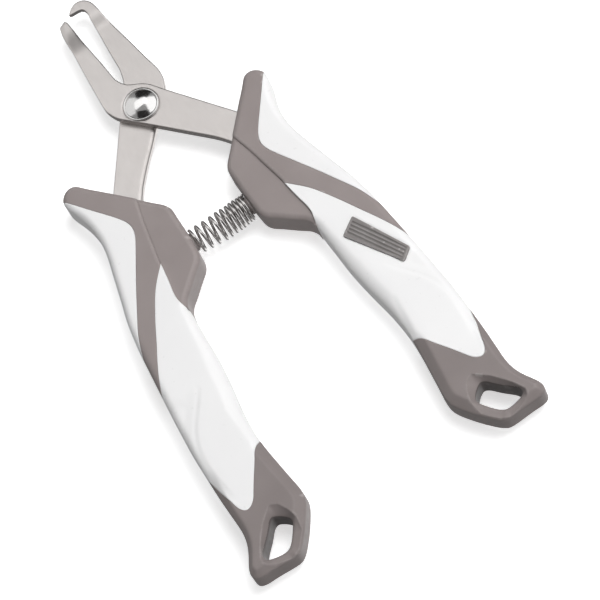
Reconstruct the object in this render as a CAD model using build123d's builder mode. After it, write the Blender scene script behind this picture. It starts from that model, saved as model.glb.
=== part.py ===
from build123d import *
import math
import os

os.makedirs("parts", exist_ok=True)

# ---------------------------------------------------------------- dimensions
OVERALL = 165.0          # hook tip to handle end
F = OVERALL / 170.763     # outline stations are tabulated on a 170.8 long master
Y_PIVOT = 44.756         # rivet axis, so that the assembly is centred on Y = 0
Z_MID = 5.0              # seam plane of handles and blades above the table

PLATE = 2.0              # stamped plate thickness
BLADE_GAP = 0.03         # each plate stands off the seam plane by this much
JOGGLE = 1.0             # how far each jaw tip is set over, so the tips meet

RIVET_R = 2.25           # rivet shank
RIVET_BORE_R = 2.30      # running fit of the plates on the shank
DOME_R = 4.25             # rivet head
DOME_H = 1.55
TAIL_R = 3.4
TAIL_H = 1.0
WASHER_R = 4.65          # thin washer that shows as a ring round the head
WASHER_T = 0.30

WHITE_HALF = 4.35        # half thickness of each handle zone
CROWN_HALF = 5.0         # flat raised facet on the white zone, the rest face
GRIP_HALF = 4.75
PAD_HALF = 4.2
CAP_HALF = 4.3
EDGE_R = 1.0             # rounding of the moulded edges
TONGUE_HALF = 2.9        # hard core under the soft mouldings
PART_GAP = 0.05          # half of the parting line between two mouldings

SPRING_OR = 3.75         # outside radius of the coil
WIRE_R = 0.40
SPRING_TURNS = 11
SPRING_Y = -42.0 * F + Y_PIVOT
SPRING_HALF = 8.02       # half length between the two pads
STUD_R = 2.4

BADGE_Z = 4.35           # floor of the badge recess above the seam
PIN_R = 1.5              # pins that lock each tang in its core


# ------------------------------------------------------------------ stations
def P(x, y, s=1):
    return (s * x * F, y * F + Y_PIVOT)


def pts(table, s=1):
    return [P(x, y, s) for x, y in table]


def par(table, d):
    """the same run of stations moved sideways by d (to its left)"""
    out = []
    n = len(table)
    for i, (x, y) in enumerate(table):
        x0, y0 = table[max(i - 1, 0)]
        x1, y1 = table[min(i + 1, n - 1)]
        k = math.hypot(x1 - x0, y1 - y0)
        out.append((x - (y1 - y0) / k * d, y + (x1 - x0) / k * d))
    return out


def ended(table, first=None, last=None):
    """the same run with its first or last station replaced"""
    out = list(table)
    if first:
        out[0] = first
    if last:
        out[-1] = last
    return out


# outline of one handle, right side, clockwise from the guard tip
HANDLE = [
    (24.6, -12.2), (25.6, -11.1), (27.0, -10.6), (28.5, -10.9), (29.8, -11.9),
    (30.6, -13.4), (30.5, -15.2), (29.6, -18.2), (28.7, -21.6), (28.15, -25.8),
    (28.2, -30.2), (28.8, -34.0), (29.9, -38.5), (31.0, -43.0), (32.15, -47.7),
    (33.4, -52.6), (34.2, -57.0), (34.9, -62.0), (35.4, -67.0), (35.9, -72.3),
    (36.4, -77.6), (36.9, -82.8), (37.3, -88.2), (37.65, -94.0), (37.75, -100.0),
    (37.8, -106.0), (37.7, -111.0), (37.55, -115.5), (37.6, -119.4),
    (38.3, -122.6), (39.7, -125.6), (41.0, -128.1), (41.3, -129.5),
    (40.9, -130.7), (39.7, -131.3), (37.2, -131.45), (33.6, -131.6),
    (30.8, -131.7), (29.2, -131.5), (27.9, -130.7), (26.3, -129.0),
    (24.4, -126.6), (22.6, -124.0), (21.2, -121.7), (20.45, -119.9),
    (20.25, -117.8), (20.6, -114.2), (21.2, -109.0), (21.75, -103.8),
    (22.05, -98.8), (21.9, -93.5), (21.4, -88.5), (20.7, -84.0), (20.1, -79.8),
    (19.6, -75.6), (19.3, -71.6), (19.15, -67.0), (18.95, -62.4), (18.6, -58.6),
    (17.6, -56.5), (15.9, -54.9), (13.6, -52.8), (11.4, -50.8), (10.0, -49.5),
    (9.2, -48.1), (8.85, -45.8), (8.6, -42.0), (8.55, -38.0), (8.5, -34.0),
    (8.6, -31.9), (9.5, -30.0), (11.1, -28.1), (14.0, -24.7), (17.4, -20.7),
    (20.9, -16.6),
]

# boundaries between the mouldings
STRIPE_UP = [
    (32.2, -10.9), (30.4, -13.4), (25.75, -20.1), (22.35, -24.9), (20.6, -27.6),
    (19.7, -29.5), (19.4, -31.3), (19.8, -33.4), (21.0, -36.0), (24.0, -41.5),
    (27.3, -47.6), (30.6, -54.0), (33.1, -59.2), (34.3, -62.4), (35.6, -66.0),
]
STRIPE_LOW = [
    (18.4, -44.7), (20.5, -47.0), (23.05, -50.2), (24.9, -53.2), (27.3, -57.6),
    (30.15, -63.3), (33.0, -69.0), (34.8, -73.0), (35.8, -75.3), (37.0, -78.0),
]
STEP = [
    (14.0, -22.6), (14.6, -25.6), (15.6, -29.7), (17.1, -37.6), (18.4, -44.7),
]
STEP_LOW = [
    (18.4, -44.7), (19.25, -50.8), (19.8, -54.3), (19.75, -56.4), (19.0, -59.2),
    (18.2, -62.0),
]
CAP_TOP = [
    (20.4, -99.8), (22.4, -101.0), (23.6, -101.9), (25.4, -104.5), (27.6, -107.9),
    (29.9, -111.6), (31.3, -113.7), (32.4, -114.6), (33.6, -114.9), (34.8, -113.9),
    (35.7, -111.2), (36.6, -107.6), (37.4, -103.6), (38.4, -98.6),
]

# hard core under the soft mouldings, straight sided
TONGUE = [
    (24.3, -17.3), (27.0, -20.6), (26.3, -30.0), (29.0, -42.5), (31.9, -56.5),
    (33.4, -69.0), (34.0, -79.0), (22.6, -79.0), (21.3, -60.0), (19.6, -56.0),
    (11.6, -48.0), (11.2, -46.0), (11.2, -33.4), (12.9, -31.0),
]
CAP_TONGUE = [
    (24.2, -96.5), (35.6, -96.5), (35.5, -109.5), (33.4, -114.3), (25.4, -114.3),
    (23.1, -107.5),
]

# stamped blades, seen with the jaws up; the tang runs down into its handle
JAW_FRONT_OUT = [
    (-6.3, 35.2), (-6.75, 33.4), (-7.15, 27.2), (-7.55, 20.9), (-8.05, 14.3),
    (-8.4, 8.6), (-8.52, 6.4), (-8.44, 4.3), (-7.95, 2.4), (-6.95, 0.3),
    (-5.1, -1.9), (-1.4, -6.1), (2.35, -10.4), (6.0, -14.65), (9.6, -18.8),
    (11.7, -21.4), (13.5, -24.1),
]
JAW_FRONT_IN = [
    (-4.45, 35.85), (-4.05, 35.4), (-3.8, 34.2), (-3.62, 32.0), (-3.43, 28.1),
    (-3.0, 23.0), (-2.5, 18.2), (-2.15, 13.9), (-1.95, 11.6), (-1.5, 9.9),
    (-0.9, 8.7), (0.2, 7.4), (1.7, 6.45), (3.1, 5.55), (4.4, 4.4),
    (5.4, 3.1), (6.5, 1.3),
]
JAW_REAR_OUT = [
    (-2.35, 36.8), (-1.8, 37.5), (-0.85, 38.3), (0.4, 38.85), (1.95, 38.8),
    (3.15, 38.15), (4.1, 37.0), (4.6, 35.65), (4.88, 33.9), (5.05, 32.4),
    (5.6, 28.4), (6.3, 24.1), (7.0, 19.9), (7.7, 15.5), (8.4, 11.3),
    (8.9, 8.6), (9.0, 6.8), (8.7, 4.9), (8.0, 2.8), (6.9, 0.6),
    (5.0, -1.9), (2.4, -4.6), (-0.2, -7.2), (-2.9, -10.2), (-6.2, -13.75),
    (-8.7, -16.6), (-10.6, -18.9), (-12.2, -21.1), (-13.5, -23.2),
]
JAW_REAR_IN = [
    (-2.3, 36.6), (-2.0, 36.45), (-0.7, 36.3), (0.5, 36.15), (1.45, 35.7),
    (1.85, 34.8), (1.75, 32.6), (1.45, 28.7), (1.2, 25.0), (0.95, 21.4),
    (0.75, 17.7), (0.5, 14.0), (0.1, 12.1), (-0.3, 10.7), (-1.2, 8.9),
    (-2.6, 7.0), (-4.2, 5.0), (-5.6, 3.0), (-6.7, 1.0),
]
TANG_OUT = [
    (19.4, -17.9), (24.6, -26.5), (27.2, -40.0), (30.2, -60.0), (31.6, -80.0),
    (32.0, -95.0), (31.2, -97.5),
]
TANG_IN = [
    (17.0, -30.2), (21.6, -42.0), (24.2, -60.0), (26.3, -80.0),
    (27.6, -95.0), (28.6, -97.5),
]
TANG_MOUTH = (12.8, -23.4)   # inner corner of the pocket where the tang goes in
TANG_ENTRY = [(16.8, -13.6), (24.6, -26.5), (17.0, -30.2), (11.2, -21.4)]
PINS = [(27.2, -68.0), (29.4, -88.0)]

# lanyard hole and badge
HOLE = [
    (25.0, -122.6), (27.5, -119.8), (29.9, -119.9), (36.3, -126.8),
    (36.2, -128.3), (30.7, -129.5), (28.7, -128.8),
]
BADGE = [(27.4, -63.6), (34.6, -79.7), (31.3, -82.3), (22.6, -67.0)]

# raised facet of the white zone
CROWN = [
    (21.6, -61.4), (27.6, -60.9), (30.4, -67.0), (35.4, -77.8), (36.1, -92.0),
    (36.0, -103.0), (33.6, -112.6), (31.4, -110.6), (25.0, -100.9),
    (23.0, -98.0), (22.4, -88.0), (20.6, -72.0),
]

FULL = 12.0              # cutting depth, more than the tool is thick


def seam(z):
    return Plane.XY.offset(Z_MID + z)


def handle_face(s):
    with BuildSketch(seam(0)) as sk:
        with BuildLine():
            Spline(*pts(HANDLE, s), periodic=True)
        make_face()
    return sk.sketch


def poly_face(table, s, z=0.0):
    with BuildSketch(seam(z)) as sk:
        with BuildLine():
            Polyline(*pts(table, s), close=True)
        make_face()
    return sk.sketch


def zone_face(curves, s):
    """closed face from splines and straight closing lines"""
    with BuildSketch(seam(0)) as sk:
        with BuildLine():
            last = first = None
            for kind, table in curves:
                run = pts(table, s)
                if last is not None:
                    if math.dist(last, run[0]) > 1e-6:
                        Line(last, run[0])
                else:
                    first = run[0]
                if kind == "spline":
                    Spline(*run)
                else:
                    Polyline(*run)
                last = run[-1]
            if math.dist(last, first) > 1e-6:
                Line(last, first)
        make_face()
    return sk.sketch


def handle_blank(s, half, edge, rounded):
    with BuildPart() as blank:
        with BuildSketch(seam(-half)):
            add(handle_face(s).moved(Location((0, 0, -half))))
        extrude(amount=2 * half)
        rims = blank.edges().filter_by(lambda e: abs(
            abs(e.center().Z - Z_MID) - half) < 1e-3)
        if rounded:
            fillet(rims, edge)
        else:
            chamfer(rims, edge)
    return blank.part


def tang_outline(s):
    return TANG_OUT + list(reversed(TANG_IN)) + [TANG_MOUTH]


# zones in plan; grow = -1 takes half of the parting line off the zone itself,
# grow = +1 gives the cutter that takes the other half off the hard core
def guard_zone(s, grow):
    g = grow * PART_GAP
    corner = (18.4 - 1.4 * g, -44.7 - 0.8 * g)
    up = par(STRIPE_UP, g)
    low = ended(par(STRIPE_LOW, -g), first=corner)
    step = ended(par(STEP, -g), last=corner)
    return zone_face([("spline", up), ("line", [(44, -66.0), (44, -78.0)]),
                      ("spline", list(reversed(low))),
                      ("spline", list(reversed(step))),
                      ("line", [(14.0, -6.0), (32.2, -6.0)])], s)


def pad_zone(s, grow):
    step = par(STEP + STEP_LOW[1:], grow * PART_GAP)
    return zone_face([("spline", step),
                      ("line", [(17.4, -62.0), (4.0, -62.0), (4.0, -22.6)])], s)


def cap_zone(s, grow):
    cap = par(CAP_TOP, grow * PART_GAP)
    return zone_face([("spline", cap), ("line", [(46, -98.6), (46, -136.0),
                                                 (14, -136.0), (14, -99.8)])], s)


def rod(r, x0, x1, s):
    """round bar along X on the spring axis, from x0 to x1"""
    with BuildPart() as bar:
        with BuildSketch(Plane(origin=(s * x0, SPRING_Y, Z_MID),
                               x_dir=(0, 1, 0), z_dir=(s, 0, 0))):
            Circle(r)
        extrude(amount=x1 - x0)
    return bar.part


# ------------------------------------------------------------------- blades
def blade(jaw_out, jaw_in, s, up, bend0, bend1, name):
    """up = +1 for the plate above the seam, -1 for the one below"""
    z0 = BLADE_GAP if up > 0 else -PLATE
    z1 = PLATE if up > 0 else -BLADE_GAP
    thick = z1 - z0
    ya, yb, yc = P(0, -140)[1], P(0, bend0)[1], P(0, bend1)[1]
    yd = P(0, 46)[1]
    with BuildPart() as plate:
        with BuildSketch(Plane.YZ.offset(-60)):
            with BuildLine():
                lo, dz = Z_MID + z0, -up * JOGGLE
                Polyline((ya, lo), (yb, lo), (yc, lo + dz), (yd, lo + dz),
                         (yd, lo + dz + thick), (yc, lo + dz + thick),
                         (yb, lo + thick), (ya, lo + thick), close=True)
            make_face()
        extrude(amount=120)
        with BuildSketch(seam(-FULL)):
            with BuildLine():
                a = pts(jaw_out)
                b = pts(jaw_in)
                outer = pts(TANG_OUT, s)
                inner = pts(TANG_IN, s)
                Spline(*a)
                Spline(*b)
                Line(a[0], b[0])
                if s > 0:
                    Line(a[-1], inner[0])
                    Line(b[-1], outer[0])
                else:
                    Line(a[-1], inner[0])
                    Line(b[-1], outer[0])
                Polyline(*outer)
                Polyline(*inner)
                Line(outer[-1], inner[-1])
            make_face()
        extrude(amount=2 * FULL, mode=Mode.INTERSECT)
        with Locations((0, Y_PIVOT, Z_MID)):
            Cylinder(RIVET_BORE_R, 2 * FULL, mode=Mode.SUBTRACT)
        for px, py in PINS:
            with Locations((*P(px, py, s), Z_MID)):
                Cylinder(PIN_R, 2 * FULL, mode=Mode.SUBTRACT)
    plate.part.label = name
    export_step(plate.part, f"parts/{name}.step")
    return plate.part


front_blade = blade(JAW_FRONT_OUT, JAW_FRONT_IN, 1, 1, 26.0, 31.8, "front_blade")
rear_blade = blade(JAW_REAR_OUT, JAW_REAR_IN, -1, -1, 27.8, 33.6, "rear_blade")

# -------------------------------------------------------------- rivet, washer
def cap_rise(x, r, h):
    """height over the rim of a spherical cap of base radius r and height h"""
    big = (r * r + h * h) / (2 * h)
    return math.sqrt(big * big - x * x) - (big - h)


top = PLATE + 0.03 + WASHER_T + 0.02
with BuildPart() as pivot_rivet:
    base = Z_MID + top
    foot = Z_MID - PLATE - 0.03
    with BuildSketch(Plane.XZ) as half:
        with BuildLine():
            Line((0, foot - TAIL_H), (0, base + DOME_H))
            ThreePointArc((0, base + DOME_H),
                          (2.4, base + cap_rise(2.4, DOME_R, DOME_H)),
                          (DOME_R, base))
            Line((DOME_R, base), (RIVET_R, base))
            Line((RIVET_R, base), (RIVET_R, foot))
            Line((RIVET_R, foot), (TAIL_R, foot))
            ThreePointArc((TAIL_R, foot),
                          (2.0, foot - cap_rise(2.0, TAIL_R, TAIL_H)),
                          (0, foot - TAIL_H))
        make_face()
    revolve(axis=Axis.Z)
pivot_rivet.part = pivot_rivet.part.moved(Location((0, Y_PIVOT, 0)))
pivot_rivet.part.label = "pivot_rivet"
export_step(pivot_rivet.part, "parts/pivot_rivet.step")

with BuildPart() as head_washer:
    with BuildSketch(seam(PLATE + 0.03)):
        with Locations((0, Y_PIVOT)):
            Circle(WASHER_R)
            Circle(RIVET_R + 0.06, mode=Mode.SUBTRACT)
    extrude(amount=WASHER_T)
    chamfer(head_washer.edges().group_by(Axis.Z)[-1].sort_by(SortBy.LENGTH)[-1], 0.12)
head_washer.part.label = "head_washer"
export_step(head_washer.part, "parts/head_washer.step")

# --------------------------------------------------------------------- spring
with BuildPart() as return_spring:
    height = 2 * (SPRING_HALF - WIRE_R - 0.05)
    with BuildLine() as coil:
        Helix(pitch=height / SPRING_TURNS, height=height, radius=SPRING_OR - WIRE_R)
    with BuildSketch(Plane(origin=coil.line @ 0, z_dir=coil.line % 0)):
        Circle(WIRE_R)
    sweep(is_frenet=True)
return_spring.part = return_spring.part.moved(
    Location((-height / 2, SPRING_Y, Z_MID), (0, 90, 0)))
return_spring.part.label = "return_spring"
export_step(return_spring.part, "parts/return_spring.step")


# -------------------------------------------------------------------- handles
def handle(side, s, tang_up):
    """one handle: two core shells, soft mouldings, stud and tang pins"""
    tz0, tz1 = (BLADE_GAP, PLATE) if tang_up > 0 else (-PLATE, -BLADE_GAP)
    face = handle_face(s)
    made = {}

    # core shells
    for face_name, up in (("front", 1), ("rear", -1)):
        with BuildPart() as core:
            add(handle_blank(s, WHITE_HALF, EDGE_R, True))
            for zone in (guard_zone, pad_zone, cap_zone):
                with BuildSketch(seam(-FULL)):
                    add(zone(s, 1).moved(Location((0, 0, -FULL))))
                extrude(amount=2 * FULL, mode=Mode.SUBTRACT)
            with BuildSketch(seam(-TONGUE_HALF)):
                add(poly_face(TONGUE, s).moved(Location((0, 0, -TONGUE_HALF))))
                add(poly_face(CAP_TONGUE, s).moved(Location((0, 0, -TONGUE_HALF))))
            extrude(amount=2 * TONGUE_HALF)
            with BuildSketch(seam(up * (WHITE_HALF - 0.2))):
                add(poly_face(CROWN, s, up * (WHITE_HALF - 0.2)))
            extrude(amount=up * (CROWN_HALF - WHITE_HALF + 0.2), taper=55)
            # keep one side of the seam
            with BuildSketch(seam(0)):
                Rectangle(200, 400)
            extrude(amount=-up * FULL, mode=Mode.SUBTRACT)
            # pocket for the tang, in the shell on the tang's own side
            if up == tang_up:
                with BuildSketch(seam(0)):
                    add(poly_face(tang_outline(s), s))
                extrude(amount=up * PLATE, mode=Mode.SUBTRACT)
            for px, py in PINS:
                with Locations((*P(px, py, s), Z_MID)):
                    Cylinder(PIN_R, 7.6, mode=Mode.SUBTRACT)
            add(rod(STUD_R, 9.0, 13.6, s), mode=Mode.SUBTRACT)
            if s > 0 and up > 0:
                with BuildSketch(seam(BADGE_Z)):
                    add(poly_face(BADGE, s, BADGE_Z))
                extrude(amount=2, mode=Mode.SUBTRACT)
        made[f"{side}_core_{face_name}"] = core.part

    # guard band with its diagonal stripe
    with BuildPart() as guard:
        add(handle_blank(s, GRIP_HALF, EDGE_R, True))
        with BuildSketch(seam(-FULL)):
            add(guard_zone(s, -1).moved(Location((0, 0, -FULL))))
        extrude(amount=2 * FULL, mode=Mode.INTERSECT)
        with BuildSketch(seam(-TONGUE_HALF)):
            add(poly_face(TONGUE, s).moved(Location((0, 0, -TONGUE_HALF))))
        extrude(amount=2 * TONGUE_HALF, mode=Mode.SUBTRACT)
        with BuildSketch(seam(tz0)):
            with BuildLine():
                Polyline(*pts(TANG_ENTRY, s), close=True)
            make_face()
        extrude(amount=tz1 - tz0, mode=Mode.SUBTRACT)
    made[f"{side}_guard_grip"] = guard.part

    # spring pad
    with BuildPart() as pad:
        add(handle_blank(s, PAD_HALF, 0.9, False))
        with BuildSketch(seam(-FULL)):
            add(pad_zone(s, -1).moved(Location((0, 0, -FULL))))
        extrude(amount=2 * FULL, mode=Mode.INTERSECT)
        with BuildSketch(seam(-TONGUE_HALF)):
            add(poly_face(TONGUE, s).moved(Location((0, 0, -TONGUE_HALF))))
        extrude(amount=2 * TONGUE_HALF, mode=Mode.SUBTRACT)
        add(rod(STUD_R, 5.0, 12.0, s), mode=Mode.SUBTRACT)
        with BuildSketch(seam(tz0)):
            with BuildLine():
                Polyline(*pts(TANG_ENTRY, s), close=True)
            make_face()
        extrude(amount=tz1 - tz0, mode=Mode.SUBTRACT)
    made[f"{side}_spring_pad"] = pad.part

    # end cap with the lanyard hole
    with BuildPart() as cap:
        add(handle_blank(s, CAP_HALF, EDGE_R, True))
        with BuildSketch(seam(-FULL)):
            add(cap_zone(s, -1).moved(Location((0, 0, -FULL))))
        extrude(amount=2 * FULL, mode=Mode.INTERSECT)
        with BuildSketch(seam(-TONGUE_HALF)):
            add(poly_face(CAP_TONGUE, s).moved(Location((0, 0, -TONGUE_HALF))))
        extrude(amount=2 * TONGUE_HALF, mode=Mode.SUBTRACT)
        with BuildSketch(seam(-FULL)) as hole:
            with BuildLine():
                Polyline(*pts(HOLE, s), close=True)
            make_face()
            fillet(hole.vertices(), 0.8)
        extrude(amount=2 * FULL, mode=Mode.SUBTRACT)
        for up in (1, -1):
            with BuildSketch(Plane(origin=(0, 0, Z_MID + up * 2.7),
                                   z_dir=(0, 0, 1))) as rim:
                with BuildLine():
                    Polyline(*pts(HOLE, s), close=True)
                make_face()
                fillet(rim.vertices(), 0.8)
            extrude(amount=up * 2.0, taper=-38, mode=Mode.SUBTRACT)
    made[f"{side}_end_cap"] = cap.part

    # stud the spring sits on
    with BuildPart() as stud:
        add(rod(STUD_R, 7.4, 13.6, s))
        chamfer(stud.edges().filter_by(GeomType.CIRCLE).sort_by(
            lambda e: abs(e.center().X))[0], 0.5)
    made[f"{side}_spring_stud"] = stud.part

    # pins through the tang
    with BuildPart() as pins:
        for px, py in PINS:
            with Locations((*P(px, py, s), Z_MID)):
                Cylinder(PIN_R, 7.6)
    made[f"{side}_tang_pins"] = pins.part

    for name, solid in made.items():
        solid.label = name
        export_step(solid, f"parts/{name}.step")
    return made


right = handle("right", 1, 1)
left = handle("left", -1, -1)

# ---------------------------------------------------------------------- badge
with BuildPart() as badge_plate:
    with BuildSketch(seam(BADGE_Z)) as sk:
        add(poly_face(BADGE, 1, BADGE_Z))
    extrude(amount=0.9)
    chamfer(badge_plate.edges().group_by(Axis.Z)[-1], 0.2)
badge_plate.part.label = "badge_plate"
export_step(badge_plate.part, "parts/badge_plate.step")
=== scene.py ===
import bpy
import math
import numpy as np
from mathutils import Matrix, Vector
from mathutils.geometry import delaunay_2d_cdt


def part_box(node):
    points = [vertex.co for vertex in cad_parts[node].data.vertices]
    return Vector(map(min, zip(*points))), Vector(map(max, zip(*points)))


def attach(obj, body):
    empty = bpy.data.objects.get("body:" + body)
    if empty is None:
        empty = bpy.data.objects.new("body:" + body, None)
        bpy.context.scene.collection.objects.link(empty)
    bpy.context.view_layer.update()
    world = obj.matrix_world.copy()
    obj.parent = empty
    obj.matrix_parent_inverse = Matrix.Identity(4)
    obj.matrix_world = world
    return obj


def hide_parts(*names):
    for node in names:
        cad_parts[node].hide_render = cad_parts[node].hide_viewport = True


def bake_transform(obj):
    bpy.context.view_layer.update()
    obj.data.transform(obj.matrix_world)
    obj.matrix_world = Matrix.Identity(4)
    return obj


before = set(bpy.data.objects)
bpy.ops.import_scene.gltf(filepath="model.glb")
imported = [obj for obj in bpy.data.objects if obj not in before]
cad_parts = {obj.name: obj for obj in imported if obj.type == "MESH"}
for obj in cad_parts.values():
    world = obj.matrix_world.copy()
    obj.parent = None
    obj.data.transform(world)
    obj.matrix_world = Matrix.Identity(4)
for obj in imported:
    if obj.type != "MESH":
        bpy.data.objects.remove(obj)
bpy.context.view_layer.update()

# ------------------------------------------------------------------ frame
PIVOT = (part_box("pivot_rivet")[0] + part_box("pivot_rivet")[1]) / 2
PX, PY = 0.0, PIVOT.y            # rivet axis
MID = (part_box("front_blade")[1].z - 0.002)   # seam plane
F = 165.0 / 170.763              # outline stations to millimetres
ROOT, CHILD = "rear_half", "front_half"
BODY = {1: CHILD, -1: ROOT}
SIDE = {1: "right", -1: "left"}
rng = np.random.default_rng(7)


# ------------------------------------------------------------------ curves
def _tri(a, b, c, d):
    n = len(b)
    m = np.zeros((n, n))
    m[np.arange(n), np.arange(n)] = b
    m[np.arange(1, n), np.arange(n - 1)] = a[1:]
    m[np.arange(n - 1), np.arange(1, n)] = c[:-1]
    return m


def spline(pts, step=0.3, closed=False):
    """smooth curve through the stations, sampled about every step mm"""
    p = np.array(pts, float)
    if closed:
        p = np.vstack([p, p[:1]])
    h = np.linalg.norm(np.diff(p, axis=0), axis=1)
    t = np.concatenate([[0], np.cumsum(h)])
    n = len(p)
    if closed:
        m = n - 1
        A = np.zeros((m, m))
        R = np.zeros((m, 2))
        for i in range(m):
            hp, hn = h[i - 1], h[i]
            A[i, (i - 1) % m] += hp
            A[i, i] += 2 * (hp + hn)
            A[i, (i + 1) % m] += hn
            R[i] = 6 * ((p[i + 1] - p[i]) / hn - (p[i] - p[i - 1 if i else m - 1]) / hp)
        M = np.linalg.solve(A, R)
        M = np.vstack([M, M[:1]])
    else:
        A = np.zeros((n, n))
        R = np.zeros((n, 2))
        A[0, 0] = A[-1, -1] = 1
        for i in range(1, n - 1):
            A[i, i - 1], A[i, i], A[i, i + 1] = h[i - 1], 2 * (h[i - 1] + h[i]), h[i]
            R[i] = 6 * ((p[i + 1] - p[i]) / h[i] - (p[i] - p[i - 1]) / h[i - 1])
        M = np.linalg.solve(A, R)
    out = []
    for i in range(n - 1):
        k = max(2, int(round(h[i] / step)))
        for u in np.linspace(0, h[i], k, endpoint=False):
            a, b = (h[i] - u) / h[i], u / h[i]
            out.append(a * p[i] + b * p[i + 1]
                       + ((a ** 3 - a) * M[i] + (b ** 3 - b) * M[i + 1]) * h[i] ** 2 / 6)
    if not closed:
        out.append(p[-1])
    return np.array(out)


def resample(c, step, closed=False):
    q = np.vstack([c, c[:1]]) if closed else c
    s = np.concatenate([[0], np.cumsum(np.linalg.norm(np.diff(q, axis=0), axis=1))])
    n = max(2, int(round(s[-1] / step)))
    u = np.linspace(0, s[-1], n + 1)
    r = np.stack([np.interp(u, s, q[:, 0]), np.interp(u, s, q[:, 1])], 1)
    return r[:-1] if closed else r


def near(pts, poly, closed=False):
    """distance from each point to a polyline"""
    pts = np.asarray(pts, float)
    q = np.vstack([poly, poly[:1]]) if closed else np.asarray(poly, float)
    a, b = q[:-1], q[1:]
    ab = b - a
    ll = (ab ** 2).sum(1) + 1e-12
    best = np.full(len(pts), 1e9)
    for i in range(0, len(pts), 2000):
        w = pts[i:i + 2000, None, :] - a[None]
        t = np.clip((w * ab).sum(2) / ll, 0, 1)
        d = w - t[..., None] * ab
        best[i:i + 2000] = np.sqrt((d ** 2).sum(2).min(1))
    return best


def inside(pts, poly):
    pts = np.asarray(pts, float)
    x, y = pts[:, 0][:, None], pts[:, 1][:, None]
    a = poly
    b = np.roll(poly, -1, 0)
    out = np.zeros(len(pts), bool)
    for i in range(0, len(pts), 4000):
        xi, yi = x[i:i + 4000], y[i:i + 4000]
        c = (a[:, 1] > yi) != (b[:, 1] > yi)
        with np.errstate(divide="ignore", invalid="ignore"):
            xc = (b[:, 0] - a[:, 0]) * (yi - a[:, 1]) / (b[:, 1] - a[:, 1]) + a[:, 0]
        out[i:i + 4000] = (np.sum(c & (xi < xc), 1) % 2) == 1
    return out


def area(poly):
    x, y = poly[:, 0], poly[:, 1]
    return 0.5 * np.sum(x * np.roll(y, -1) - y * np.roll(x, -1))


def normals_in(poly):
    """unit normals pointing into a closed loop"""
    t = np.roll(poly, -1, 0) - np.roll(poly, 1, 0)
    t /= np.linalg.norm(t, axis=1)[:, None] + 1e-12
    n = np.stack([-t[:, 1], t[:, 0]], 1)
    return n if area(poly) > 0 else -n


def cross(curve, outline):
    """where an open curve crosses a closed outline: list of (index on curve, index on outline, point)"""
    q = np.vstack([outline, outline[:1]])
    hits = []
    for i in range(len(curve) - 1):
        p, r = curve[i], curve[i + 1] - curve[i]
        s = q[1:] - q[:-1]
        den = r[0] * s[:, 1] - r[1] * s[:, 0]
        w = q[:-1] - p
        with np.errstate(divide="ignore", invalid="ignore"):
            t = (w[:, 0] * s[:, 1] - w[:, 1] * s[:, 0]) / den
            u = (w[:, 0] * r[1] - w[:, 1] * r[0]) / den
        for j in np.where((t >= 0) & (t < 1) & (u >= 0) & (u < 1))[0]:
            hits.append((i + t[j], j + u[j], p + t[j] * r))
    return hits


def along(outline, j0, j1):
    """outline points strictly between two fractional indices, going up and round"""
    n = len(outline)
    if j1 <= j0:
        j1 += n
    idx = np.arange(math.floor(j0) + 1, math.ceil(j1))
    return outline[idx % n]


def part_of(curve, i0, i1):
    idx = np.arange(math.floor(i0) + 1, math.ceil(i1))
    return curve[idx]


def sstep(a, b, x):
    t = np.clip((x - a) / (b - a), 0, 1)
    return t * t * (3 - 2 * t)


def smin(a, b, k):
    h = np.clip(0.5 + 0.5 * (b - a) / k, 0, 1)
    return b * (1 - h) + a * h - k * h * (1 - h)


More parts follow.
